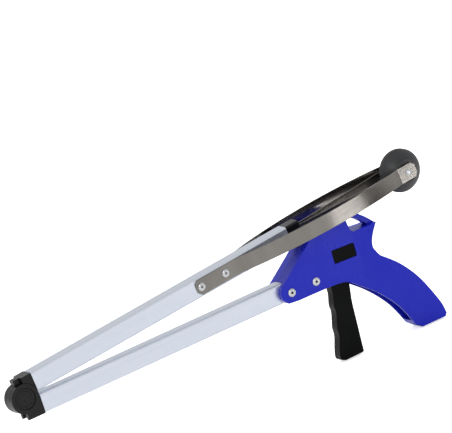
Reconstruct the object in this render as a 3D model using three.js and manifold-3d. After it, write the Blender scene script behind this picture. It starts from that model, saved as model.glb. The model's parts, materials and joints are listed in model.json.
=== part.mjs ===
// Folding reacher grabber: a pistol-grip handle with a trigger, two rectangular aluminium tubes joined by a
// folding hinge, and a pair of spring-strip jaws with rubber cups. Millimetres, +Z up.
// X runs along the rear tube from the hinge to the handle, Y across (the tool is symmetric about Y = 0).
// It is drawn folded, with the jaws shut. While it is drawn the fold pivot is the origin; the last lines
// move the whole tool so that the middle of its base is the origin.
import * as THREE from 'three';
import { mergeVertices } from 'three/addons/utils/BufferGeometryUtils.js';
import Module from 'manifold-3d';

const wasm = await Module();
wasm.setup();

// Driving dimensions
const GAP = 0.3; // between pieces that touch
const TUBE_HEIGHT = 19;
const TUBE_WIDTH = 16;
const TUBE_WALL = 1.2;
const TUBE_CORNER = 2;
const PIVOT_RISE = 0.8; // fold pivot above the rear tube's top face
const AXIS_Z = -(PIVOT_RISE + TUBE_HEIGHT / 2); // rear tube's centre line
const REAR_TUBE_END = 304.5;
const FOLD_REST = 5.05; // degrees between the two tubes when folded

const BLOCK_END = 14.4; // hinge block's tube-side face, from the pivot
const BLOCK_OVERLAP = 3.2; // hinge block's reach past the pivot
const BLOCK_HALF = 8.2;
const KNUCKLE_RADIUS = 14.3;
const KNUCKLE_CLEARANCE = 0.4;
const LUG_SPLIT = 4.15; // |Y| where the centre lug gives way to the outer lugs
const SPIGOT_LENGTH = 16;
const HINGE_PIN_RADIUS = 3;
const CAP_RADIUS = 10;
const CAP_THICKNESS = 1.3;
const CAP_SUNK = 0.6;

const SHELL_HALF = 14; // handle's half width at the housing
const GRIP_HALF = 11; // and at the grip
const SHELL_WALL = 2.4;
const TAPER_START = 359.5;
const TAPER_END = 390;
const ARCH_HALF = 6;
const HANDLE_RIVETS = [282.9, 309.6];
const HANDLE_RIVET_Z = -11.6;
const BADGE_CENTRE = [345.4, 2];
const BADGE_SIZE = [23.8, 12.6];
const BADGE_TURN = -3; // degrees
const BADGE_THICKNESS = 0.7;

const TRIGGER_PIVOT = [334, 6.4];
const TRIGGER_HALF = 5.5;
const TRIGGER_PIN_RADIUS = 3;
const WASHER_RADIUS = 7.2; // thrust washers between the trigger and the shells' bosses
const WASHER_THICKNESS = 0.9;
const NIPPLE_AT = [329.5, AXIS_Z];
const NIPPLE_RADIUS = 2.4;

const ARM_Z = PIVOT_RISE + TUBE_HEIGHT / 2; // front tube's centre line in the arm's own frame
const FRONT_TUBE_END = 303;
const PLUG_END = 317;
const PLUG_BORE = [5.6, 6.5]; // half width and half height
const STRIP_WIDTH = 15;
const STRIP_THICKNESS = 1.2;
const MOUNT_START = 197.4;
const CREASE_X = 245.9;
const STRIP_RIVETS = [202.7, 229.9];
const TIP_CREASE_X = 423.3;
const TIP_END = 442.4;
const TIP_Y = 17.6; // outer strip's centre line at the tip
const CUP_X = 434;
const CUP_RADIUS = 20.5;
const CUP_RIM_Y = 0.4;
const INNER_WIDTH = 8;
const INNER_THICKNESS = 1;
const INNER_ROOT = [309.5, 1.9];
const INNER_BEND_X = 424;
const CABLE_RADIUS = 0.9;
const CABLE_TRAVEL = 5; // room for the front cable to run forward as the jaws open
const RIVET_SHANK = 1.9;
const RIVET_HEAD = 3.9;
const ROUND_SIDES = 24;

// Materials
const material = (color, roughness, metalness) => new THREE.MeshStandardMaterial({ color, roughness, metalness });
const finishes = {
  bluePlastic: () => material(0x222db5, 0.35, 0),
  blackPlastic: () => material(0x111213, 0.45, 0),
  aluminium: () => material(0xd0d6e0, 0.3, 1),
  stainless: () => material(0xa9a7a3, 0.22, 1),
  steel: () => material(0xc9cbd0, 0.3, 1),
  rubber: () => material(0x1b1c1d, 0.7, 0),
  cable: () => material(0x8a8d90, 0.4, 1),
};

const tool = new THREE.Group();
const arm = new THREE.Group();
arm.rotation.y = -THREE.MathUtils.degToRad(FOLD_REST);
tool.add(arm);

function addPiece(parent, name, geometry, finish) {
  const mesh = new THREE.Mesh(geometry, finish());
  mesh.name = name;
  parent.add(mesh);
}

// Solids: a closed geometry becomes a manifold to be joined or cut, and comes back as a geometry.
function solid(geometry) {
  const bare = geometry.clone();
  bare.deleteAttribute('normal');
  bare.deleteAttribute('uv');
  const merged = mergeVertices(bare, 1e-4);
  return new wasm.Manifold(new wasm.Mesh({
    numProp: 3,
    vertProperties: new Float32Array(merged.attributes.position.array),
    triVerts: new Uint32Array(merged.index.array),
  }));
}

function geometryOf(manifold) {
  const mesh = manifold.getMesh();
  const geometry = new THREE.BufferGeometry();
  geometry.setAttribute('position', new THREE.BufferAttribute(new Float32Array(mesh.vertProperties), 3));
  geometry.setIndex(new THREE.BufferAttribute(new Uint32Array(mesh.triVerts), 1));
  geometry.computeVertexNormals();
  return geometry;
}

// Outlines
const vectors = (pairs) => pairs.map(([x, y]) => new THREE.Vector2(x, y));

function polygon(pairs) {
  return new THREE.Shape(vectors(pairs));
}

function roundedRectangle(halfWidth, halfHeight, radius, Path = THREE.Shape) {
  const path = new Path();
  path.moveTo(-halfWidth + radius, -halfHeight);
  path.lineTo(halfWidth - radius, -halfHeight);
  path.absarc(halfWidth - radius, -halfHeight + radius, radius, -Math.PI / 2, 0);
  path.lineTo(halfWidth, halfHeight - radius);
  path.absarc(halfWidth - radius, halfHeight - radius, radius, 0, Math.PI / 2);
  path.lineTo(-halfWidth + radius, halfHeight);
  path.absarc(-halfWidth + radius, halfHeight - radius, radius, Math.PI / 2, Math.PI);
  path.lineTo(-halfWidth, -halfHeight + radius);
  path.absarc(-halfWidth + radius, -halfHeight + radius, radius, Math.PI, Math.PI * 1.5);
  return path;
}

// An outline drawn in X and Z, given thickness from y0 to y1.
function plateAcross(shape, y0, y1, curveSegments = 5) {
  const geometry = new THREE.ExtrudeGeometry(shape, { depth: y1 - y0, bevelEnabled: false, curveSegments });
  return geometry.rotateX(Math.PI / 2).translate(0, y1, 0);
}

// A section drawn in Y and Z, run along X from x0 to x1 about the centre line at height z.
function barAlong(shape, x0, x1, z, curveSegments = 3) {
  const geometry = new THREE.ExtrudeGeometry(shape, { depth: x1 - x0, bevelEnabled: false, curveSegments });
  const turn = new THREE.Matrix4().makeBasis(
    new THREE.Vector3(0, 1, 0), new THREE.Vector3(0, 0, 1), new THREE.Vector3(1, 0, 0));
  return geometry.applyMatrix4(turn).translate(x0, 0, z);
}

function box(x0, x1, y0, y1, z0, z1) {
  return new THREE.BoxGeometry(x1 - x0, y1 - y0, z1 - z0)
    .translate((x0 + x1) / 2, (y0 + y1) / 2, (z0 + z1) / 2);
}

function rodAcross(radius, y0, y1, x, z, sides = ROUND_SIDES) {
  return new THREE.CylinderGeometry(radius, radius, y1 - y0, sides).translate(x, (y0 + y1) / 2, z);
}

function rodAlong(radius, x0, x1, z, sides = 8) {
  return new THREE.CylinderGeometry(radius, radius, x1 - x0, sides).rotateZ(-Math.PI / 2)
    .translate((x0 + x1) / 2, 0, z);
}

// A profile of radius and |Y|, turned about an axis across the tool; side is -1 for near and 1 for far.
function turned(profile, side, x, z, sides = ROUND_SIDES) {
  const placed = profile.map(([radius, y]) => new THREE.Vector2(radius, side * y));
  if (side < 0) placed.reverse();
  return new THREE.LatheGeometry(placed, sides).translate(x, 0, z);
}

const halfRange = (side, inner, outer) => (side < 0 ? [-outer, -inner] : [inner, outer]);

function hollowTube(x0, x1, z, holes) {
  const section = roundedRectangle(TUBE_WIDTH / 2, TUBE_HEIGHT / 2, TUBE_CORNER);
  section.holes.push(roundedRectangle(
    TUBE_WIDTH / 2 - TUBE_WALL, TUBE_HEIGHT / 2 - TUBE_WALL, TUBE_CORNER - TUBE_WALL, THREE.Path));
  let tube = solid(barAlong(section, x0, x1, z));
  for (const [x, holeZ] of holes) {
    tube = tube.subtract(solid(rodAcross(RIVET_SHANK + GAP, -TUBE_WIDTH, TUBE_WIDTH, x, holeZ, 16)));
  }
  return geometryOf(tube);
}

// A hollow rivet right across the tool, with a rolled head at each end that starts at |Y| = seat.
function hollowRivet(seat, x, z, sides = 14) {
  const bore = 1.1;
  const headTop = seat + 1.1;
  return turned([
    [bore, -headTop], [RIVET_HEAD * 0.62, -headTop], [RIVET_HEAD, -seat - 0.35], [RIVET_HEAD, -seat],
    [RIVET_SHANK, -seat], [RIVET_SHANK, seat], [RIVET_HEAD, seat], [RIVET_HEAD, seat + 0.35],
    [RIVET_HEAD * 0.62, headTop], [bore, headTop], [bore, -headTop],
  ], 1, x, z, sides);
}

// Handle: two moulded half shells, open along the grip's underside, with a hanging arch at the top rear
function handleOutline() {
  const outline = new THREE.Shape();
  outline.moveTo(277, -20.4);
  outline.lineTo(287, -21.4);
  outline.lineTo(318.7, -21.8);
  outline.splineThru(vectors([[338.1, -24], [351.3, -33.5], [368, -48.5], [383, -67.9], [393.3, -89.9]]));
  outline.lineTo(398.7, -94.6);
  outline.lineTo(424.4, -94.6);
  outline.lineTo(426.5, -91.6);
  outline.splineThru(vectors([[423.7, -78.2], [411.6, -50.3], [397, -29.7], [380.4, -14.6]]));
  outline.splineThru(vectors([[376, -4.4], [379.3, 5.5], [387.3, 16.1]]));
  outline.lineTo(379.4, 15.8);
  outline.lineTo(361.1, 17.2);
  outline.lineTo(358.7, 19.6);
  outline.lineTo(357.1, 31.4);
  outline.quadraticCurveTo(356.4, 34.3, 353.4, 34.4);
  outline.lineTo(330.9, 34.5);
  outline.quadraticCurveTo(327.9, 34.5, 325.4, 33.1);
  outline.lineTo(277, -2);
  outline.bezierCurveTo(270.6, -7, 269.8, -15, 277, -20.4);
  return outline;
}

function handleArch() {
  const arch = new THREE.Shape();
  arch.moveTo(345.2, 33.9);
  arch.bezierCurveTo(353.4, 35.9, 362.6, 36.3, 371.7, 31.2);
  arch.quadraticCurveTo(379.9, 25.3, 387.3, 16.1);
  arch.lineTo(381.3, 15.1);
  arch.quadraticCurveTo(374.8, 22.7, 368.3, 27.2);
  arch.bezierCurveTo(361.5, 31.2, 357.5, 31.4, 353.4, 30.8);
  return arch;
}

// What is hollow inside the shells, and open below from the trigger's slot to the butt
function handleHollow() {
  return polygon([
    [309.5, -45.7], [309.5, -19.1], [307.5, -19.1], [307.5, -0.8], [286, -1], [284, 0.2], [326.9, 31.6],
    [352.4, 31.6], [354.2, 28.8], [355.8, 17.6], [359.5, 14.3], [380.9, 12.9], [376.2, 6.8], [373.2, -4.5],
    [377.9, -16.7], [394.2, -32], [408.9, -51.8], [420.7, -78.9], [422.7, -91], [400.3, -91], [394.8, -85.4],
    [384, -85.4], [341.1, -61],
  ]);
}

function planTaper(inset) {
  const housing = SHELL_HALF - inset;
  const grip = GRIP_HALF - inset;
  const tall = 300;
  const plan = polygon([
    [200, -housing], [TAPER_START, -housing], [TAPER_END, -grip], [500, -grip],
    [500, grip], [TAPER_END, grip], [TAPER_START, housing], [200, housing],
  ]);
  return solid(new THREE.ExtrudeGeometry(plan, { depth: tall, bevelEnabled: false }).translate(0, 0, -tall / 2));
}

function badgeShape(grow) {
  const shape = roundedRectangle(BADGE_SIZE[0] / 2 + grow, BADGE_SIZE[1] / 2 + grow, 1.2 + grow);
  const angle = THREE.MathUtils.degToRad(BADGE_TURN);
  const turnedPoints = shape.getPoints(4).map((point) => point.rotateAround(new THREE.Vector2(), angle));
  return new THREE.Shape(turnedPoints.map((point) => point.add(new THREE.Vector2(...BADGE_CENTRE))));
}

function handleShell(side) {
  const [y0, y1] = halfRange(side, GAP / 2, SHELL_HALF);
  const [arch0, arch1] = halfRange(side, GAP / 2, ARCH_HALF);
  const [hollow0, hollow1] = halfRange(side, -1, SHELL_HALF - SHELL_WALL);
  const [tube0, tube1] = halfRange(side, -1, TUBE_WIDTH / 2 + GAP);
  const [badge0, badge1] = halfRange(side, SHELL_HALF - BADGE_THICKNESS - 2 * GAP, SHELL_HALF + 5);
  const tubeTop = -PIVOT_RISE + GAP;
  const tubeBottom = -PIVOT_RISE - TUBE_HEIGHT - GAP;
  let shell = solid(plateAcross(handleOutline(), y0, y1)).intersect(planTaper(0));
  const hollow = solid(plateAcross(handleHollow(), hollow0, hollow1)).intersect(planTaper(SHELL_WALL));
  shell = shell.subtract(hollow);
  shell = shell.add(solid(plateAcross(handleArch(), arch0, arch1, 6)));
  shell = shell.subtract(solid(box(250, 307, tube0, tube1, tubeBottom, tubeTop)));
  shell = shell.subtract(solid(plateAcross(badgeShape(GAP), badge0, badge1)));
  // A round boss inside each half carries one end of the trigger's pin.
  const bossFace = TRIGGER_HALF + WASHER_THICKNESS + 2 * GAP;
  const [boss0, boss1] = halfRange(side, bossFace, SHELL_HALF - SHELL_WALL + 0.4);
  shell = shell.add(solid(rodAcross(6, boss0, boss1, ...TRIGGER_PIVOT, 20)));
  const [bore0, bore1] = halfRange(side, 0, SHELL_HALF - SHELL_WALL);
  shell = shell.subtract(solid(rodAcross(TRIGGER_PIN_RADIUS + GAP, bore0, bore1, ...TRIGGER_PIVOT, 20)));
  for (const x of HANDLE_RIVETS) {
    shell = shell.subtract(solid(rodAcross(RIVET_SHANK + GAP, -20, 20, x, HANDLE_RIVET_Z, 16)));
  }
  return geometryOf(shell);
}

// Trigger: a lever with four finger grooves down its front, hung from a pin behind the badge
function triggerGeometry() {
  const [pivotX, pivotZ] = TRIGGER_PIVOT;
  const outline = new THREE.Shape();
  outline.moveTo(313.3, -93.2);
  outline.splineThru(vectors([
    [312.1, -90.3], [314, -82.5], [317.8, -71.2], [318.4, -63.2], [322.3, -49.7], [322.4, -42.1],
    [325, -32.4], [325.5, -23.8],
  ]));
  outline.lineTo(325.2, -3.8);
  outline.absarc(pivotX, pivotZ, 7.4, Math.PI * 1.12, -Math.PI * 0.16, true);
  outline.splineThru(vectors([[343.3, -12], [344.6, -26.3], [341.3, -45.7], [339.7, -63], [338.4, -76.3]]));
  outline.lineTo(337, -93);
  outline.lineTo(335.8, -94.2);
  outline.lineTo(317, -94.6);
  const lever = solid(plateAcross(outline, -TRIGGER_HALF, TRIGGER_HALF, 5));
  const pinHole = solid(rodAcross(TRIGGER_PIN_RADIUS + GAP, -10, 10, pivotX, pivotZ, 20));
  const nippleHole = solid(rodAcross(NIPPLE_RADIUS + GAP, -10, 10, ...NIPPLE_AT, 16));
  return geometryOf(lever.subtract(pinHole).subtract(nippleHole));
}

// Fold hinge: each block has a square end and a round knuckle; the front block's centre lug sits between
// the rear block's outer lugs. up is -1 for the rear block, which hangs below the pivot, and 1 for the front.
function hingeBlock(up, lug) {
  const [z0, z1] = up < 0 ? [-PIVOT_RISE - TUBE_HEIGHT, -PIVOT_RISE] : [PIVOT_RISE, PIVOT_RISE + TUBE_HEIGHT];
  const half = BLOCK_HALF;
  const clearance = KNUCKLE_RADIUS + KNUCKLE_CLEARANCE;
  const lugRanges = lug === 'outer' ? [[-half, -LUG_SPLIT], [LUG_SPLIT, half]] : [[GAP - LUG_SPLIT, LUG_SPLIT - GAP]];
  const cutRanges = lug === 'outer' ? [[-LUG_SPLIT, LUG_SPLIT]] : [[-half, GAP - LUG_SPLIT], [LUG_SPLIT - GAP, half]];
  let block = solid(box(-BLOCK_OVERLAP, BLOCK_END, -half, half, z0, z1));
  for (const [y0, y1] of cutRanges) {
    block = block.subtract(solid(rodAcross(clearance, y0, y1, 0, 0, 32)));
    block = block.subtract(solid(box(-20, BLOCK_OVERLAP + KNUCKLE_CLEARANCE, y0, y1, -25, 25)));
  }
  for (const [y0, y1] of lugRanges) {
    block = block.add(solid(rodAcross(KNUCKLE_RADIUS, y0, y1, 0, 0, 32)));
  }
  const middle = (z0 + z1) / 2;
  const inside = [TUBE_WIDTH / 2 - TUBE_WALL - GAP, TUBE_HEIGHT / 2 - TUBE_WALL - GAP];
  const spigot = barAlong(roundedRectangle(...inside, 0.8), BLOCK_END - 0.1, BLOCK_END + SPIGOT_LENGTH, middle);
  block = block.add(solid(spigot));
  block = block.subtract(solid(rodAlong(CABLE_RADIUS + 0.7, 8, 40, middle, 12)));
  block = block.subtract(solid(rodAcross(HINGE_PIN_RADIUS + GAP, -20, 20, 0, 0, 24)));
  if (lug === 'outer') {
    const floor = BLOCK_HALF - CAP_SUNK - CAP_THICKNESS - GAP;
    for (const side of [-1, 1]) {
      const [y0, y1] = halfRange(side, floor, 20);
      block = block.subtract(solid(rodAcross(CAP_RADIUS + GAP, y0, y1, 0, 0, 28)));
    }
  }
  return geometryOf(block);
}

function hingeCap(side) {
  const outer = BLOCK_HALF - CAP_SUNK;
  const inner = outer - CAP_THICKNESS;
  return turned([
    [0, inner], [CAP_RADIUS, inner], [CAP_RADIUS, outer - 0.3], [CAP_RADIUS - 0.4, outer],
    [1.8, outer], [1.2, outer - 0.6], [0, outer - 0.7],
  ], side, 0, 0, 24);
}

// Rear half: handle, trigger, rear tube and the hinge parts fixed to it
for (const [side, where] of [[-1, 'near'], [1, 'far']]) {
  addPiece(tool, `handle_shell_${where}`, handleShell(side), finishes.bluePlastic);
  const [y0, y1] = halfRange(side, SHELL_HALF - BADGE_THICKNESS - GAP, SHELL_HALF - GAP);
  addPiece(tool, `badge_${where}`, plateAcross(badgeShape(0), y0, y1), finishes.blackPlastic);
  addPiece(tool, `hinge_cap_${where}`, hingeCap(side), finishes.blackPlastic);
}
HANDLE_RIVETS.forEach((x, index) => {
  const rivet = hollowRivet(SHELL_HALF + GAP, x, HANDLE_RIVET_Z);
  addPiece(tool, ['handle_rivet_front', 'handle_rivet_rear'][index], rivet, finishes.steel);
});
addPiece(tool, 'trigger', triggerGeometry(), finishes.blackPlastic);
addPiece(tool, 'trigger_pin', rodAcross(TRIGGER_PIN_RADIUS, -11, 11, ...TRIGGER_PIVOT, 20), finishes.steel);
for (const [side, where] of [[-1, 'near'], [1, 'far']]) {
  const bore = TRIGGER_PIN_RADIUS + GAP;
  const inner = TRIGGER_HALF + GAP;
  const outer = inner + WASHER_THICKNESS;
  const ring = [[bore, inner], [WASHER_RADIUS, inner], [WASHER_RADIUS, outer], [bore, outer], [bore, inner]];
  addPiece(tool, `trigger_washer_${where}`, turned(ring, side, ...TRIGGER_PIVOT, 20), finishes.steel);
}
addPiece(tool, 'cable_nipple', rodAcross(NIPPLE_RADIUS, -4, 4, ...NIPPLE_AT, 16), finishes.steel);
addPiece(tool, 'rear_tube',
  hollowTube(BLOCK_END + GAP, REAR_TUBE_END, AXIS_Z, [[HANDLE_RIVETS[0], HANDLE_RIVET_Z]]), finishes.aluminium);
addPiece(tool, 'rear_hinge_block', hingeBlock(-1, 'outer'), finishes.blackPlastic);
addPiece(tool, 'hinge_pin', rodAcross(HINGE_PIN_RADIUS, -5.6, 5.6, 0, 0, 24), finishes.steel);

// The rear cable lies in the rear tube and parts to pass the front handle rivet.
const cableEnd = HANDLE_RIVETS[0] - RIVET_SHANK - 2 * GAP;
addPiece(tool, 'cable_rear', rodAlong(CABLE_RADIUS, 12.5, cableEnd, AXIS_Z), finishes.cable);

// Front arm: hinge block, tube and end plug, with the jaw strips' mounting ends riveted to its sides
addPiece(arm, 'front_hinge_block', hingeBlock(1, 'centre'), finishes.blackPlastic);
addPiece(arm, 'front_tube',
  hollowTube(BLOCK_END + GAP, FRONT_TUBE_END, ARM_Z, STRIP_RIVETS.map((x) => [x, ARM_Z])), finishes.aluminium);

function endPlug() {
  const inside = [TUBE_WIDTH / 2 - TUBE_WALL - GAP, TUBE_HEIGHT / 2 - TUBE_WALL - GAP];
  const collar = barAlong(
    roundedRectangle(TUBE_WIDTH / 2, TUBE_HEIGHT / 2, TUBE_CORNER), FRONT_TUBE_END + GAP, PLUG_END, ARM_Z);
  const spigot = barAlong(roundedRectangle(...inside, 0.8), FRONT_TUBE_END - 14, FRONT_TUBE_END + 1, ARM_Z);
  const bore = barAlong(roundedRectangle(...PLUG_BORE, 1), FRONT_TUBE_END - 20, PLUG_END + 5, ARM_Z);
  return geometryOf(solid(collar).add(solid(spigot)).subtract(solid(bore)));
}
addPiece(arm, 'end_plug', endPlug(), finishes.blackPlastic);

// Pull block: slides in the plug's bore; a fork at its front holds the pin that both inner strips hook on
function pullBlock() {
  const [rootX] = INNER_ROOT;
  const half = INNER_WIDTH / 2 + 0.4;
  const tall = half + 1.6;
  let block = solid(box(rootX - 26, rootX + 2.5, -4.6, 4.6, ARM_Z - tall, ARM_Z + tall));
  block = block.subtract(solid(box(rootX - 10, rootX + 9, -9, 9, ARM_Z - half, ARM_Z + half)));
  const pinHole = new THREE.CylinderGeometry(1.2 + GAP, 1.2 + GAP, 30, 16).rotateX(Math.PI / 2)
    .translate(rootX, 0, ARM_Z);
  block = block.subtract(solid(pinHole));
  return geometryOf(block.subtract(solid(rodAlong(CABLE_RADIUS + GAP, rootX - 30, rootX - 20, ARM_Z, 12))));
}
addPiece(arm, 'pull_block', pullBlock(), finishes.blackPlastic);
const pullPin = new THREE.CylinderGeometry(1.2, 1.2, 11.6, 16).rotateX(Math.PI / 2)
  .translate(INNER_ROOT[0], 0, ARM_Z);
addPiece(arm, 'pull_pin', pullPin, finishes.steel);
const frontCableEnd = STRIP_RIVETS[0] - RIVET_SHANK - CABLE_TRAVEL;
addPiece(arm, 'cable_front', rodAlong(CABLE_RADIUS, 12.5, frontCableEnd, ARM_Z), finishes.cable);

// Jaw strips: bands of spring steel, drawn as a centre line in X and Y and given thickness and width
function band(points, thickness, width, clip = 0) {
  const left = [];
  const right = [];
  points.forEach((point, index) => {
    const before = points[Math.max(index - 1, 0)];
    const after = points[Math.min(index + 1, points.length - 1)];
    const along = after.clone().sub(before).normalize();
    const side = new THREE.Vector2(-along.y, along.x).multiplyScalar(thickness / 2);
    left.push(point.clone().add(side));
    right.push(point.clone().sub(side));
  });
  const shape = new THREE.Shape([...right, ...left.reverse()]);
  const strip = new THREE.ExtrudeGeometry(shape, { depth: width, bevelEnabled: false })
    .translate(0, 0, ARM_Z - width / 2);
  return clip ? clipCorners(strip, points[points.length - 1].x, width / 2, clip) : strip;
}

// Cuts both corners off a strip's end at x, at 45 degrees; towards -X when the end faces that way.
function clipCorners(strip, endX, halfWidth, clip, facing = 1) {
  let cut = solid(strip);
  for (const up of [-1, 1]) {
    const corner = polygon([
      [endX - facing * clip, ARM_Z + up * (halfWidth + 0.01)],
      [endX + facing * clip, ARM_Z + up * (halfWidth - 2 * clip)],
      [endX + facing * clip, ARM_Z + up * (halfWidth + 2 * clip)],
      [endX - facing * clip, ARM_Z + up * (halfWidth + 2 * clip)],
    ]);
    cut = cut.subtract(solid(plateAcross(corner, -60, 60)));
  }
  return geometryOf(cut);
}

function drill(geometry, xs, radius = RIVET_SHANK + GAP) {
  let cut = solid(geometry);
  for (const x of xs) {
    cut = cut.subtract(solid(rodAcross(radius, -60, 60, x, ARM_Z, 16)));
  }
  return geometryOf(cut);
}

const mountY = TUBE_WIDTH / 2 + GAP + STRIP_THICKNESS / 2;
const mirrorY = (points, side) => points.map((point) => new THREE.Vector2(point.x, side * point.y));

function outerStrip(side) {
  const bow = new THREE.CubicBezierCurve(
    ...vectors([[CREASE_X + 0.3, mountY], [303, 32.5], [372, 33.5], [TIP_CREASE_X, TIP_Y]]));
  const points = [...bow.getPoints(22), new THREE.Vector2(TIP_END, TIP_Y)];
  return drill(band(mirrorY(points, side), STRIP_THICKNESS, STRIP_WIDTH, 3.4), [CUP_X]);
}

function stripMount(side) {
  const points = mirrorY(vectors([[MOUNT_START, mountY], [CREASE_X - 0.3, mountY]]), side);
  const strip = band(points, STRIP_THICKNESS, STRIP_WIDTH);
  return drill(clipCorners(strip, MOUNT_START, STRIP_WIDTH / 2, 3.4, -1), STRIP_RIVETS);
}

const tabY = TIP_Y - STRIP_THICKNESS / 2 - GAP - INNER_THICKNESS / 2;

function innerStrip(side) {
  const points = mirrorY(vectors([INNER_ROOT, [INNER_BEND_X - 0.6, tabY - 0.1]]), side);
  return band(points, INNER_THICKNESS, INNER_WIDTH);
}

function innerTab(side) {
  const points = mirrorY(vectors([[INNER_BEND_X + 0.2, tabY], [TIP_END - 2.4, tabY]]), side);
  return drill(band(points, INNER_THICKNESS, INNER_WIDTH, 1.6), [CUP_X]);
}

// Rubber cup: a dished cone on a short neck, with a flange that the strip's tip is riveted to
const flangeTop = tabY - INNER_THICKNESS / 2 - GAP;

function rubberCup(side) {
  return turned([
    [0, CUP_RIM_Y + 3.4], [8, CUP_RIM_Y + 3], [14, CUP_RIM_Y + 1.9], [CUP_RADIUS - 1, CUP_RIM_Y],
    [CUP_RADIUS, CUP_RIM_Y + 0.3], [CUP_RADIUS, CUP_RIM_Y + 1.3], [17.6, CUP_RIM_Y + 4.6],
    [11.4, CUP_RIM_Y + 8.4], [7.6, CUP_RIM_Y + 9.9], [6.8, flangeTop - 3.2], [10.8, flangeTop - 2.6],
    [10.8, flangeTop], [RIVET_SHANK + GAP, flangeTop], [RIVET_SHANK + GAP, flangeTop - 5.4], [0, flangeTop - 5.4],
  ], side, CUP_X, ARM_Z, 26);
}

function tipRivet(side) {
  const seat = TIP_Y + STRIP_THICKNESS / 2 + GAP;
  return turned([
    [0, flangeTop - 5], [RIVET_SHANK, flangeTop - 5], [RIVET_SHANK, seat], [2.9, seat], [2.9, seat + 0.3],
    [2, seat + 1], [0, seat + 1.2],
  ], side, CUP_X, ARM_Z, 12);
}

STRIP_RIVETS.forEach((x, index) => {
  const rivet = hollowRivet(TUBE_WIDTH / 2 + STRIP_THICKNESS + 2 * GAP, x, ARM_Z);
  addPiece(arm, ['strip_rivet_rear', 'strip_rivet_front'][index], rivet, finishes.steel);
});
for (const [side, where] of [[-1, 'near'], [1, 'far']]) {
  addPiece(arm, `strip_mount_${where}`, stripMount(side), finishes.stainless);
  addPiece(arm, `outer_strip_${where}`, outerStrip(side), finishes.stainless);
  addPiece(arm, `inner_strip_${where}`, innerStrip(side), finishes.stainless);
  addPiece(arm, `inner_tab_${where}`, innerTab(side), finishes.stainless);
  addPiece(arm, `cup_${where}`, rubberCup(side), finishes.rubber);
  addPiece(arm, `tip_rivet_${where}`, tipRivet(side), finishes.steel);
}

// The middle of the tool's base becomes the origin.
const bounds = new THREE.Box3().setFromObject(tool, true);
const centre = bounds.getCenter(new THREE.Vector3());
tool.position.set(-centre.x, 0, -bounds.min.z);

const grabber = new THREE.Group();
grabber.add(tool);
export default grabber;
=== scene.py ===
import json
import math
import bmesh
import bpy
from mathutils import Matrix, Vector

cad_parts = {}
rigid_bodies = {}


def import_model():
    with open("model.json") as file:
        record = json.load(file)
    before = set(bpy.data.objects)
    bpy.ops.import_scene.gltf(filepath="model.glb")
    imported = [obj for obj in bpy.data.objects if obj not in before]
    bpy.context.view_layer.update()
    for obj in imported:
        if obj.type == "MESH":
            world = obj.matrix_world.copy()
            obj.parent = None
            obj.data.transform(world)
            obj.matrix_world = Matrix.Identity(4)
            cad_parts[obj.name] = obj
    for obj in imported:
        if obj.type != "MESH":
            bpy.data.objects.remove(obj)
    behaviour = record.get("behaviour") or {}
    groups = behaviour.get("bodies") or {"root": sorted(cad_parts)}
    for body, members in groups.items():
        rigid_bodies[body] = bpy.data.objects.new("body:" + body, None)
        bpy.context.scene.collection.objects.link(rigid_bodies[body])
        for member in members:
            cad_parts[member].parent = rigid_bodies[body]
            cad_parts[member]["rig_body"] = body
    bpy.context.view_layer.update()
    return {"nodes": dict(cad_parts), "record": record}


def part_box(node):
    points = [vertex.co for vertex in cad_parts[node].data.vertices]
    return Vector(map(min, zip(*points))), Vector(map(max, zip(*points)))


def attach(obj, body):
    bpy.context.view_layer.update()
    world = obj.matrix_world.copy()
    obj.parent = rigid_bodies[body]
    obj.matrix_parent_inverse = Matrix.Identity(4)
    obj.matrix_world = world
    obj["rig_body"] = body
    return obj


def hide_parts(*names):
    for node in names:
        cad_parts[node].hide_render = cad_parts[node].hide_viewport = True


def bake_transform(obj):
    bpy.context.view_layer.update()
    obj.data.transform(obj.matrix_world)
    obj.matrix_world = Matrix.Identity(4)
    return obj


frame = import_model()

# Folding reacher grabber, stood as it is held: rear tube along X from the hinge to the handle, Z up.

# Tubes: two lengths of rectangular aluminium extrusion, one ahead of the handle and one on the folded arm,
# clear anodised. They slip over the hinge blocks' spigots. The front tube lies 5 degrees off the rear one.
MM = 0.001
fold = next(joint for joint in frame["record"]["behaviour"]["joints"] if joint["name"] == "fold")
FOLD_REST = math.radians(180 - fold["range_deg"][1])


def linear(hex_colour):
    """An sRGB hex colour as linear red, green, blue and alpha."""
    channels = [int(hex_colour[i:i + 2], 16) / 255 for i in (1, 3, 5)]
    return (*[c / 12.92 if c <= 0.04045 else ((c + 0.055) / 1.055) ** 2.4 for c in channels], 1)


def add(tree, kind, inputs=None, **settings):
    """Adds a node, with its settings, and sets or links its inputs."""
    made = tree.nodes.new(kind)
    for key, value in settings.items():
        setattr(made, key, value)
    for socket, value in (inputs or {}).items():
        if isinstance(value, bpy.types.NodeSocket):
            tree.links.new(value, made.inputs[socket])
        else:
            made.inputs[socket].default_value = value
    return made


def new_material(name, colour, roughness, metallic=0.0, **sockets):
    """A material whose shader has these values, or patterns round them that are linked later; returns it
    with its node tree and shader."""
    material = bpy.data.materials.new(name)
    material.use_nodes = True
    tree = material.node_tree
    shader = tree.nodes["Principled BSDF"]
    values = {"Base Color": linear(colour), "Roughness": roughness, "Metallic": metallic}
    for socket, value in {**values, **sockets}.items():
        shader.inputs[socket.replace("_", " ")].default_value = value
    return material, tree, shader


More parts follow.
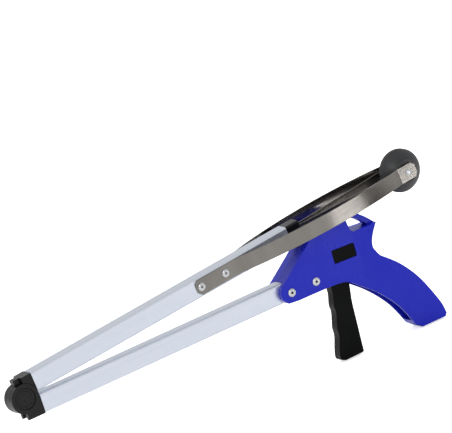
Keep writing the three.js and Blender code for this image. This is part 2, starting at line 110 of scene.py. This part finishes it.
def finish_piece(shape, name, body, finish, stands_for, sharp=35.0):
    """Makes the mesh an object in its finish, smooth across all but its sharp edges, riding on its body."""
    for face in shape.faces:
        face.smooth = True
    for edge in shape.edges:
        edge.smooth = edge.is_manifold and edge.calc_face_angle() < math.radians(sharp)
    mesh = bpy.data.meshes.new(name)
    shape.to_mesh(mesh)
    shape.free()
    mesh.materials.append(finish)
    piece = bpy.data.objects.new(name, mesh)
    bpy.context.collection.objects.link(piece)
    shading = piece.modifiers.new("even shading", "WEIGHTED_NORMAL")
    shading.keep_sharp = True
    if body:
        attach(piece, body)
    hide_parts(*stands_for)
    return piece


def rounded_copy(node, body, finish, rounding, segments=2, chosen=None):
    """A merged copy of a CAD piece with its corners, or the chosen ones, rounded off by so many millimetres.
    Chosen corners lose their shortest edges first, so that the rounding has room along them."""
    shape = bmesh.new()
    shape.from_mesh(frame["nodes"][node].data)
    bmesh.ops.remove_doubles(shape, verts=shape.verts, dist=2e-6)
    bmesh.ops.dissolve_limit(shape, angle_limit=math.radians(0.4), verts=shape.verts, edges=shape.edges)

    def corners():
        return [edge for edge in shape.edges if edge.is_manifold
                and edge.calc_face_angle() > math.radians(35) and (chosen is None or chosen(edge))]

    if chosen:
        rim = {vert for edge in corners() for vert in edge.verts}
        shortest = 0.9 * MM
        bmesh.ops.remove_doubles(shape, verts=list(rim), dist=shortest)
    if rounding:
        bmesh.ops.bevel(shape, geom=corners(), offset=rounding * MM, offset_type="OFFSET", affect="EDGES",
                        segments=segments, profile=0.5, clamp_overlap=True, material=-1)
    return finish_piece(shape, node + "_finished", body, finish, [node])


def drawn_aluminium(name, turn):
    """Clear-anodised extrusion: a satin grey with fine lines along the tube from the die, drawn 1 mm wide
    because the real ones are too fine to show."""
    finish, tree, shader = new_material(name, "#D5DBE6", 0.34, 1.0)
    place = add(tree, "ShaderNodeTexCoord")
    along = add(tree, "ShaderNodeMapping", {"Vector": place.outputs["Object"], "Rotation": (0, turn, 0)})
    lines = add(tree, "ShaderNodeMapping", {"Vector": along.outputs["Vector"], "Scale": (6, 900, 900)})
    streak = add(tree, "ShaderNodeTexNoise", {"Vector": lines.outputs["Vector"], "Scale": 1.0, "Detail": 2.0})
    cloud = add(tree, "ShaderNodeTexNoise", {"Vector": along.outputs["Vector"], "Scale": 22.0, "Detail": 2.0})
    tone = add(tree, "ShaderNodeMix", {"Factor": streak.outputs["Fac"], 6: linear("#CDD3DF"),
                                       7: linear("#DDE3ED")}, data_type="RGBA")
    rough = add(tree, "ShaderNodeMapRange", {"Value": cloud.outputs["Fac"], "To Min": 0.28, "To Max": 0.42})
    bump = add(tree, "ShaderNodeBump", {"Height": streak.outputs["Fac"], "Strength": 0.12,
                                        "Distance": 0.2 * MM})
    tree.links.new(tone.outputs[2], shader.inputs["Base Color"])
    tree.links.new(rough.outputs["Result"], shader.inputs["Roughness"])
    tree.links.new(bump.outputs["Normal"], shader.inputs["Normal"])
    return finish


rounded_copy("rear_tube", "handle", drawn_aluminium("anodised aluminium rear tube", 0), 0)
rounded_copy("front_tube", "front_arm", drawn_aluminium("anodised aluminium front tube", FOLD_REST),
             0)

# Hinge and end plug: black glass-filled nylon, moulded. The two blocks turn on a steel pin, whose ends are
# closed by round caps pressed into the outer lugs. The plug closes the arm's end and guides the pull block.
# The caps are drawn in millimetres from the fold pivot, and REAR puts them in place, as it does the handle's.
PIVOT = Vector(fold["pos_m"])
REAR = Matrix.Translation(PIVOT) @ Matrix.Scale(MM, 4)
SIDES = {"near": -1, "far": 1}


def moulded_plastic(name, colour, roughness, grain_mm, depth, **sockets):
    """Moulded plastic: the mould's fine spark texture as shallow bumps, its gloss uneven from handling."""
    finish, tree, shader = new_material(name, colour, roughness, **sockets)
    place = add(tree, "ShaderNodeTexCoord")
    grain = add(tree, "ShaderNodeTexNoise", {"Vector": place.outputs["Object"], "Scale": 1 / (grain_mm * MM),
                                             "Detail": 3.0, "Roughness": 0.6})
    wear = add(tree, "ShaderNodeTexNoise", {"Vector": place.outputs["Object"], "Scale": 55.0, "Detail": 3.0})
    rough = add(tree, "ShaderNodeMapRange", {"Value": wear.outputs["Fac"], "From Min": 0.3, "From Max": 0.7,
                                             "To Min": roughness * 0.82, "To Max": roughness * 1.18})
    bump = add(tree, "ShaderNodeBump", {"Height": grain.outputs["Fac"], "Strength": depth,
                                        "Distance": 0.2 * MM})
    tree.links.new(rough.outputs["Result"], shader.inputs["Roughness"])
    tree.links.new(bump.outputs["Normal"], shader.inputs["Normal"])
    return finish


nylon = moulded_plastic("moulded black nylon", "#08090B", 0.3, 0.7, 0.1, Specular_IOR_Level=0.3)
rounded_copy("rear_hinge_block", "handle", nylon, 0.5)
rounded_copy("front_hinge_block", "front_arm", nylon, 0.5)
rounded_copy("end_plug", "front_arm", nylon, 0.4)
rounded_copy("pull_block", "puller", nylon, 0.3)


def turned_piece(name, body, finish, profile, side, centre, place, stands_for, steps=56):
    """A turned piece: a profile of radius and height across the tool, spun about an axis at X and Z.
    Side -1 is the near side and 1 the far side."""
    shape = bmesh.new()
    points = [shape.verts.new((centre[0] + radius, side * height, centre[1])) for radius, height in profile]
    line = [shape.edges.new(pair) for pair in zip(points, points[1:])]
    bmesh.ops.spin(shape, geom=points + line, cent=(centre[0], 0, centre[1]), axis=(0, 1, 0),
                   angle=2 * math.pi, steps=steps, use_merge=True)
    bmesh.ops.remove_doubles(shape, verts=shape.verts, dist=0.002)
    bmesh.ops.recalc_face_normals(shape, faces=shape.faces)
    shape.transform(place)
    return finish_piece(shape, name, body, finish, stands_for)


for where, side in SIDES.items():
    turned_piece(f"hinge_cap_{where}_finished", "handle", nylon,
                 [(0, 6.3), (10, 6.3), (10, 7.35), (9.75, 7.6), (7.9, 7.6), (7.6, 7.3), (7.3, 7.3),
                  (7.0, 7.55), (2.4, 7.55), (2.0, 7.3), (1.2, 6.95), (0, 6.9)],
                 side, (0, 0), REAR, [f"hinge_cap_{where}"])

# Handle: two half shells of blue ABS with rounded rims, moulded hollow, held by two tubular rivets and the
# trigger's pin. A plain black inlay is let into each side, and an arch at the top rear hangs on a hook.
blue_abs = moulded_plastic("moulded blue ABS", "#101DB6", 0.3, 0.9, 0.05, Specular_IOR_Level=0.28)


def middle_of(node, place):
    """The middle of a CAD piece, in millimetres in the frame that it is drawn in."""
    lowest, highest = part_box(node)
    return place.inverted() @ ((lowest + highest) / 2)


INLAY_REACH, RIVET_REACH = 16, 4.5
holes = [(middle_of("badge_near", REAR), INLAY_REACH), (middle_of("handle_rivet_front", REAR), RIVET_REACH),
         (middle_of("handle_rivet_rear", REAR), RIVET_REACH)]


def outer_rim(edge):
    """Whether an edge of a handle shell is on its outer rim, and not round the inlay or a rivet."""
    spot = REAR.inverted() @ ((edge.verts[0].co + edge.verts[1].co) / 2)
    clear = all(math.hypot(spot.x - hole.x, spot.z - hole.z) > reach for hole, reach in holes)
    outward = any(face.normal.y * spot.y > 0.9 * abs(spot.y) for face in edge.link_faces)
    return clear and outward and edge.is_convex


for where in SIDES:
    rounded_copy(f"handle_shell_{where}", "handle", blue_abs, 2.0, segments=5,
                 chosen=outer_rim)
inlay = moulded_plastic("matt black vinyl inlay", "#050505", 0.55, 0.5, 0.05, Specular_IOR_Level=0.1)
for where in SIDES:
    rounded_copy(f"badge_{where}", "handle", inlay, 0.2)

# Trigger: one black polypropylene moulding with finger grooves, hung on a steel pin between two washers.
# The pull cable's round nipple sits in a hole across it.
polypropylene = moulded_plastic("moulded black polypropylene", "#030404", 0.4, 0.8, 0.12,
                                Specular_IOR_Level=0.1)
rounded_copy("trigger", "trigger", polypropylene, 1.4, segments=4)

# Rivets, pins and washers: bright pressed steel. The tubular rivets' ends are rolled over to a rounded ring.
bright_steel, steel_tree, steel_shader = new_material("bright pressed steel", "#C9CBCE", 0.2, 1.0)
steel_place = add(steel_tree, "ShaderNodeTexCoord")
scuff = add(steel_tree, "ShaderNodeTexNoise", {"Vector": steel_place.outputs["Object"], "Scale": 1400.0,
                                               "Detail": 3.0})
steel_rough = add(steel_tree, "ShaderNodeMapRange", {"Value": scuff.outputs["Fac"], "To Min": 0.12,
                                                     "To Max": 0.32})
steel_tree.links.new(steel_rough.outputs["Result"], steel_shader.inputs["Roughness"])
for node in ("hinge_pin", "trigger_pin", "trigger_washer_near", "trigger_washer_far", "cable_nipple",
             "pull_pin"):
    steel_body = frame["nodes"][node]["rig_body"]
    rounded_copy(node, steel_body, bright_steel, 0.15)


def tubular_rivet(node, body, seat, place):
    """A tubular rivet right across the tool, rolled over at both ends into a ring round its bore."""
    middle = middle_of(node, place)
    ring = [(1.15, seat - 2.5), (1.15, seat + 0.75), (1.5, seat + 1.05), (2.1, seat + 1.1),
            (2.9, seat + 0.95), (3.55, seat + 0.6), (3.9, seat + 0.25), (3.85, seat), (1.9, seat), (1.9, 0)]
    other = [(radius, -height) for radius, height in reversed(ring[:-1])]
    turned_piece(node + "_finished", body, bright_steel, [*ring, *other, ring[0]], 1,
                 (middle.x, middle.z), place, [node], steps=40)


# REAR's counterpart for what is on the folded front arm, and how far out the rivets' seats are.
ARM = Matrix.Translation(PIVOT) @ Matrix.Rotation(-FOLD_REST, 4, "Y") @ Matrix.Scale(MM, 4)
HANDLE_FACE, STRIP_FACE = 14.3, 9.8
for node in ("handle_rivet_front", "handle_rivet_rear"):
    tubular_rivet(node, "handle", HANDLE_FACE, REAR)
for node in ("strip_rivet_rear", "strip_rivet_front"):
    tubular_rivet(node, "front_arm", STRIP_FACE, ARM)

# Pull cable: stranded steel, one run in each tube. The strands' lay shows as slanting light and dark.
strand, strand_tree, strand_shader = new_material("stranded steel cable", "#8E9194", 0.4, 1.0)
strand_place = add(strand_tree, "ShaderNodeTexCoord")
lay = add(strand_tree, "ShaderNodeTexWave", {"Vector": strand_place.outputs["Object"], "Scale": 700.0},
          bands_direction="DIAGONAL")
strand_bump = add(strand_tree, "ShaderNodeBump", {"Height": lay.outputs["Fac"], "Strength": 0.6,
                                                  "Distance": 0.3 * MM})
strand_tree.links.new(strand_bump.outputs["Normal"], strand_shader.inputs["Normal"])
rounded_copy("cable_rear", "handle", strand, 0)
rounded_copy("cable_front", "puller", strand, 0)

# Jaw strips: bands of rolled spring steel 15 by 1.2 mm. Each is riveted flat on the arm's side, bent out at
# the tube's end, bowed, and bent back to a flat tip. The inner ones are 8 by 1 mm and hook on the pull pin.


def strip_steel(name):
    """Rolled spring steel: grey-brown and bright, its fine grain along its length drawn coarse to show. Mild
    light and dark bands along its length are painted reflection, put into its colour.
    """
    finish, tree, shader = new_material(name, "#807C77", 0.18, 1.0)
    place = add(tree, "ShaderNodeTexCoord")
    lines = add(tree, "ShaderNodeMapping", {"Vector": place.outputs["UV"], "Scale": (9, 1100, 1)})
    grain = add(tree, "ShaderNodeTexNoise", {"Vector": lines.outputs["Vector"], "Scale": 1.0, "Detail": 3.0})
    # Light and dark bands along the strip are painted into its colour: a painted reflection of the light and
    # dark that the bowed steel mirrors.
    reflection_band_spacing = add(tree, "ShaderNodeMapping", {"Vector": place.outputs["UV"], "Scale": (45, 10, 1)})
    painted_reflection_bands = add(tree, "ShaderNodeTexNoise", {"Vector": reflection_band_spacing.outputs["Vector"], "Scale": 1.0, "Detail": 2.0})
    tone = add(tree, "ShaderNodeMix", {"Factor": painted_reflection_bands.outputs["Fac"], 6: linear("#6F6C68"),
                                       7: linear("#918D88")}, data_type="RGBA")
    rough = add(tree, "ShaderNodeMapRange", {"Value": grain.outputs["Fac"], "To Min": 0.1, "To Max": 0.26})
    bump = add(tree, "ShaderNodeBump", {"Height": grain.outputs["Fac"], "Strength": 0.15,
                                        "Distance": 0.2 * MM})
    tree.links.new(tone.outputs[2], shader.inputs["Base Color"])
    tree.links.new(rough.outputs["Result"], shader.inputs["Roughness"])
    tree.links.new(bump.outputs["Normal"], shader.inputs["Normal"])
    return finish


spring_steel = strip_steel("rolled spring steel")


def bow(points, steps):
    """Points along a smooth bow drawn by four control points."""
    a, b, c, d = (Vector(point) for point in points)
    spots = [step / steps for step in range(steps + 1)]
    return [(1 - t) ** 3 * a + 3 * (1 - t) ** 2 * t * b + 3 * (1 - t) * t * t * c + t ** 3 * d for t in spots]


EDGE_RADIUS = 0.25
ARM_Z = 10.3  # height of the front tube's middle line over the fold pivot


def steel_strip(name, path, side, width, thickness, clip_start, clip_end, stands_for):
    """A strip that follows a path of X and Y, clipped at its corners, before its thickness is added. Its map
    runs along the strip, in metres."""
    shape = bmesh.new()
    low = [shape.verts.new((x, side * y, ARM_Z - width / 2)) for x, y in path]
    line = [shape.edges.new(pair) for pair in zip(low, low[1:])]
    raised = bmesh.ops.extrude_edge_only(shape, edges=line)["geom"]
    top = [item for item in raised if isinstance(item, bmesh.types.BMVert)]
    bmesh.ops.translate(shape, verts=top, vec=(0, 0, width))
    lengths = [0.0]
    for before, after in zip(path, path[1:]):
        lengths.append(lengths[-1] + (Vector(after) - Vector(before)).length)
    grain = shape.loops.layers.uv.new("along the strip")
    for face in shape.faces:
        for loop in face.loops:
            nearest = min(range(len(path)), key=lambda i: abs(path[i][0] - loop.vert.co.x))
            loop[grain].uv = (lengths[nearest] * MM, (loop.vert.co.z - ARM_Z) * MM)
    for x, clip, facing in ((path[0][0], clip_start, -1), (path[-1][0], clip_end, 1)):
        for up in (-1, 1):
            if clip:
                bmesh.ops.bisect_plane(shape, geom=[*shape.verts, *shape.edges, *shape.faces], dist=1e-4,
                                       plane_co=(x - facing * clip, 0, ARM_Z + up * width / 2),
                                       plane_no=(facing, 0, up), clear_outer=True)
    shape.transform(ARM)
    piece = finish_piece(shape, name, None, spring_steel, stands_for)
    wall = piece.modifiers.new("sheet thickness", "SOLIDIFY")
    wall.thickness = thickness * MM
    wall.offset = 0
    wall.use_even_offset = True
    edges = piece.modifiers.new("rolled edges", "BEVEL")
    edges.width = EDGE_RADIUS * MM
    edges.segments = 2
    edges.limit_method = "ANGLE"
    edges.angle_limit = math.radians(50)
    piece.modifiers.move(0, 2)  # even shading comes last
    return piece


OUTER_WIDTH, OUTER_THICKNESS, OUTER_CLIP = 15, 1.2, 3.4
MOUNT_Y, TIP_Y = 8.9, 17.6
CREASE_X = 245.9
OUTER = [(197.4, MOUNT_Y), (221, MOUNT_Y), (CREASE_X - 1, MOUNT_Y), (CREASE_X, MOUNT_Y + 0.1),
         *[(point.x, point.y) for point in bow([(247.0, 9.3), (303, 32.5), (372, 33.5), (423.0, 17.7)], 26)],
         (424.0, TIP_Y), (442.4, TIP_Y)]
INNER_WIDTH, INNER_THICKNESS, INNER_CLIP = 8, 1.0, 1.6
TAB_X, TAB_Y = 424.3, 16.2
INNER = [(309.5, 1.9), (340, 5.73), (370, 9.5), (400, 13.26), (422.9, 16.08), (TAB_X, TAB_Y), (440, TAB_Y)]
for where, side in SIDES.items():
    outer = steel_strip(f"outer_strip_{where}_finished", OUTER, side, OUTER_WIDTH,
                        OUTER_THICKNESS, OUTER_CLIP, OUTER_CLIP,
                        [f"strip_mount_{where}", f"outer_strip_{where}"])
    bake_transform(outer)
    inner = steel_strip(f"inner_strip_{where}_finished", INNER, side, INNER_WIDTH,
                        INNER_THICKNESS, 0, INNER_CLIP,
                        [f"inner_strip_{where}", f"inner_tab_{where}"])
    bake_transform(inner)

# Cups: black rubber, moulded as a shallow dished cone on a neck, with two raised rings in the dish and a
# flange behind. A short rivet through the strip's tip holds the flange.
CUP_CENTRE = (434, ARM_Z)
rubber = moulded_plastic("moulded black rubber", "#28292B", 0.42, 0.9, 0.2)
for where, side in SIDES.items():
    turned_piece(f"cup_{where}_finished", f"jaw_{where}", rubber,
                 [(0, 3.8), (4.2, 3.7), (4.6, 3.3), (5.2, 3.3), (5.6, 3.65), (8, 3.4), (10.6, 2.95),
                  (11, 2.5), (11.6, 2.4), (12, 2.7), (14, 2.3), (17, 1.35), (19.6, 0.42), (20.1, 0.45),
                  (20.5, 0.8), (20.5, 1.6), (20, 2.2), (17.6, 4.6), (14.2, 6.6), (11.4, 8.2), (9, 9.4),
                  (7.6, 10.2), (6.9, 11.2), (6.8, 12.1), (7.3, 12.6), (10.3, 12.75), (10.8, 13.2),
                  (10.8, 14.9), (10.4, 15.35), (2.2, 15.4), (2.2, 10.0), (0, 10.0)],
                 side, CUP_CENTRE, ARM, [f"cup_{where}"], steps=72)
    turned_piece(f"tip_rivet_{where}_finished", f"jaw_{where}", bright_steel,
                 [(0, 10.4), (1.9, 10.4), (1.9, 18.5), (2.9, 18.5), (2.9, 18.75), (2.5, 19.2), (1.7, 19.5),
                  (0.9, 19.6), (0, 19.45)],
                 side, CUP_CENTRE, ARM, [f"tip_rivet_{where}"], steps=32)

# Studio: a pale seamless floor and pale walls for the metal to mirror, a softbox above and to the left, a
# weak one in front, and a small one behind the handle that catches its edges. A dark card and a bright one
# lie in front of the tool, where only its bright surfaces see them.
FLOOR_WHITE = "#F7F7F7"
world = bpy.data.worlds.new("white studio")
world.use_nodes = True
bpy.context.scene.world = world
walls = world.node_tree
direct = add(walls, "ShaderNodeLightPath")
level_of = add(walls, "ShaderNodeMapRange", {"Value": direct.outputs["Is Camera Ray"], "To Min": 0.72,
                                             "To Max": 1.1})
walls.links.new(level_of.outputs["Result"], walls.nodes["Background"].inputs["Strength"])
walls.nodes["Background"].inputs["Color"].default_value = linear("#FFFFFF")

floor_paint, floor_tree, floor_shader = new_material("matt white paper sweep", FLOOR_WHITE, 0.9,
                                                     Specular_IOR_Level=0.1)
seen = add(floor_tree, "ShaderNodeLightPath")
glow = add(floor_tree, "ShaderNodeMath", {0: seen.outputs["Is Camera Ray"], 1: 0.6}, operation="MULTIPLY")
floor_tree.links.new(glow.outputs[0], floor_shader.inputs["Emission Strength"])
floor_shader.inputs["Emission Color"].default_value = linear(FLOOR_WHITE)
floor_grain = add(floor_tree, "ShaderNodeTexNoise", {"Scale": 60.0, "Detail": 4.0})
floor_bump = add(floor_tree, "ShaderNodeBump", {"Height": floor_grain.outputs["Fac"], "Strength": 0.02})
floor_tree.links.new(floor_bump.outputs["Normal"], floor_shader.inputs["Normal"])


def sheet_on_floor(name, centre, size, turn, height, paint):
    """A flat sheet of card or paper lying level in the studio."""
    shape = bmesh.new()
    bmesh.ops.create_grid(shape, x_segments=2, y_segments=2, size=1)
    mesh = bpy.data.meshes.new(name)
    shape.transform(Matrix.Translation((*centre, height)) @ Matrix.Rotation(math.radians(turn), 4, "Z")
                    @ Matrix.Diagonal((size[0] / 2, size[1] / 2, 1, 1)))
    shape.to_mesh(mesh)
    shape.free()
    sheet = bpy.data.objects.new(name, mesh)
    sheet.data.materials.append(paint)
    bpy.context.collection.objects.link(sheet)
    return sheet


sheet_on_floor("floor", (0, 0), (30, 30), 0, -0.001, floor_paint)
for name, centre, size, turn, height, colour, strength in (
        ("dark card", (0.48, -0.42), (0.30, 0.40), 0, 0.0, "#2C2A28", 1.0),
        ("bright card", (0.39, -0.50), (0.17, 0.09), 22, 0.0005, "#FFFFFF", 8.0)):
    card_paint, card_tree, card_shader = new_material(name, "#000000", 1.0, Specular_IOR_Level=0.0)
    card_shader.inputs["Emission Color"].default_value = linear(colour)
    card_shader.inputs["Emission Strength"].default_value = strength
    card = sheet_on_floor(name, centre, size, turn, height, card_paint)
    card.visible_camera = card.visible_diffuse = card.visible_shadow = False


def soft_light(name, place, target, size, watts):
    """A square softbox that shines from one place towards another."""
    lamp = bpy.data.lights.new(name, "AREA")
    lamp.size = size
    lamp.energy = watts
    lamp_object = bpy.data.objects.new(name, lamp)
    bpy.context.collection.objects.link(lamp_object)
    lamp_object.location = place
    lamp_object.rotation_euler = (Vector(target) - Vector(place)).to_track_quat("-Z", "Y").to_euler()


soft_light("key softbox", (-0.9, 0.5, 1.9), (0, 0, 0.1), 1.2, 16)
soft_light("front fill", (-0.6, -2.2, 1.0), (0, 0, 0.1), 1.2, 7)
soft_light("edge softbox", (1.6, 0.95, 0.95), (0.15, 0, 0.1), 0.7, 14)

# The camera stands to the near left, a little above and a long way off, rolled so that the rear tube rises.
CAMERA_AZIMUTH, CAMERA_ELEVATION, CAMERA_ROLL = math.radians(-23.1), math.radians(13.8), math.radians(18.6)
CAMERA_DISTANCE = 12.0
FRAME_WIDTH = 413.92 * MM
HINGE_TO_AIM = (183.15, 167.67)  # from the hinge's near face, across and up the view, in millimetres
camera_data = bpy.data.cameras.new("camera")
camera_data.sensor_width = 36
camera_data.lens = camera_data.sensor_width * CAMERA_DISTANCE / FRAME_WIDTH
camera_data.clip_start, camera_data.clip_end = 0.1, 60
camera = bpy.data.objects.new("camera", camera_data)
bpy.context.collection.objects.link(camera)
bpy.context.scene.camera = camera
back = Vector((math.sin(CAMERA_AZIMUTH) * math.cos(CAMERA_ELEVATION),
               -math.cos(CAMERA_AZIMUTH) * math.cos(CAMERA_ELEVATION), math.sin(CAMERA_ELEVATION)))
level = (-back).to_track_quat("-Z", "Y")
turn = level @ Matrix.Rotation(-CAMERA_ROLL, 3, "Z").to_quaternion()
right, up = turn @ Vector((1, 0, 0)), turn @ Vector((0, 1, 0))
hinge_face = PIVOT + Vector((0, -8.5, -0.35)) * MM
aim = hinge_face + (right * HINGE_TO_AIM[0] + up * HINGE_TO_AIM[1]) * MM
camera.rotation_mode = "QUATERNION"
camera.rotation_quaternion = turn
camera.location = aim + back * CAMERA_DISTANCE
bpy.context.scene.view_settings.view_transform = "Standard"
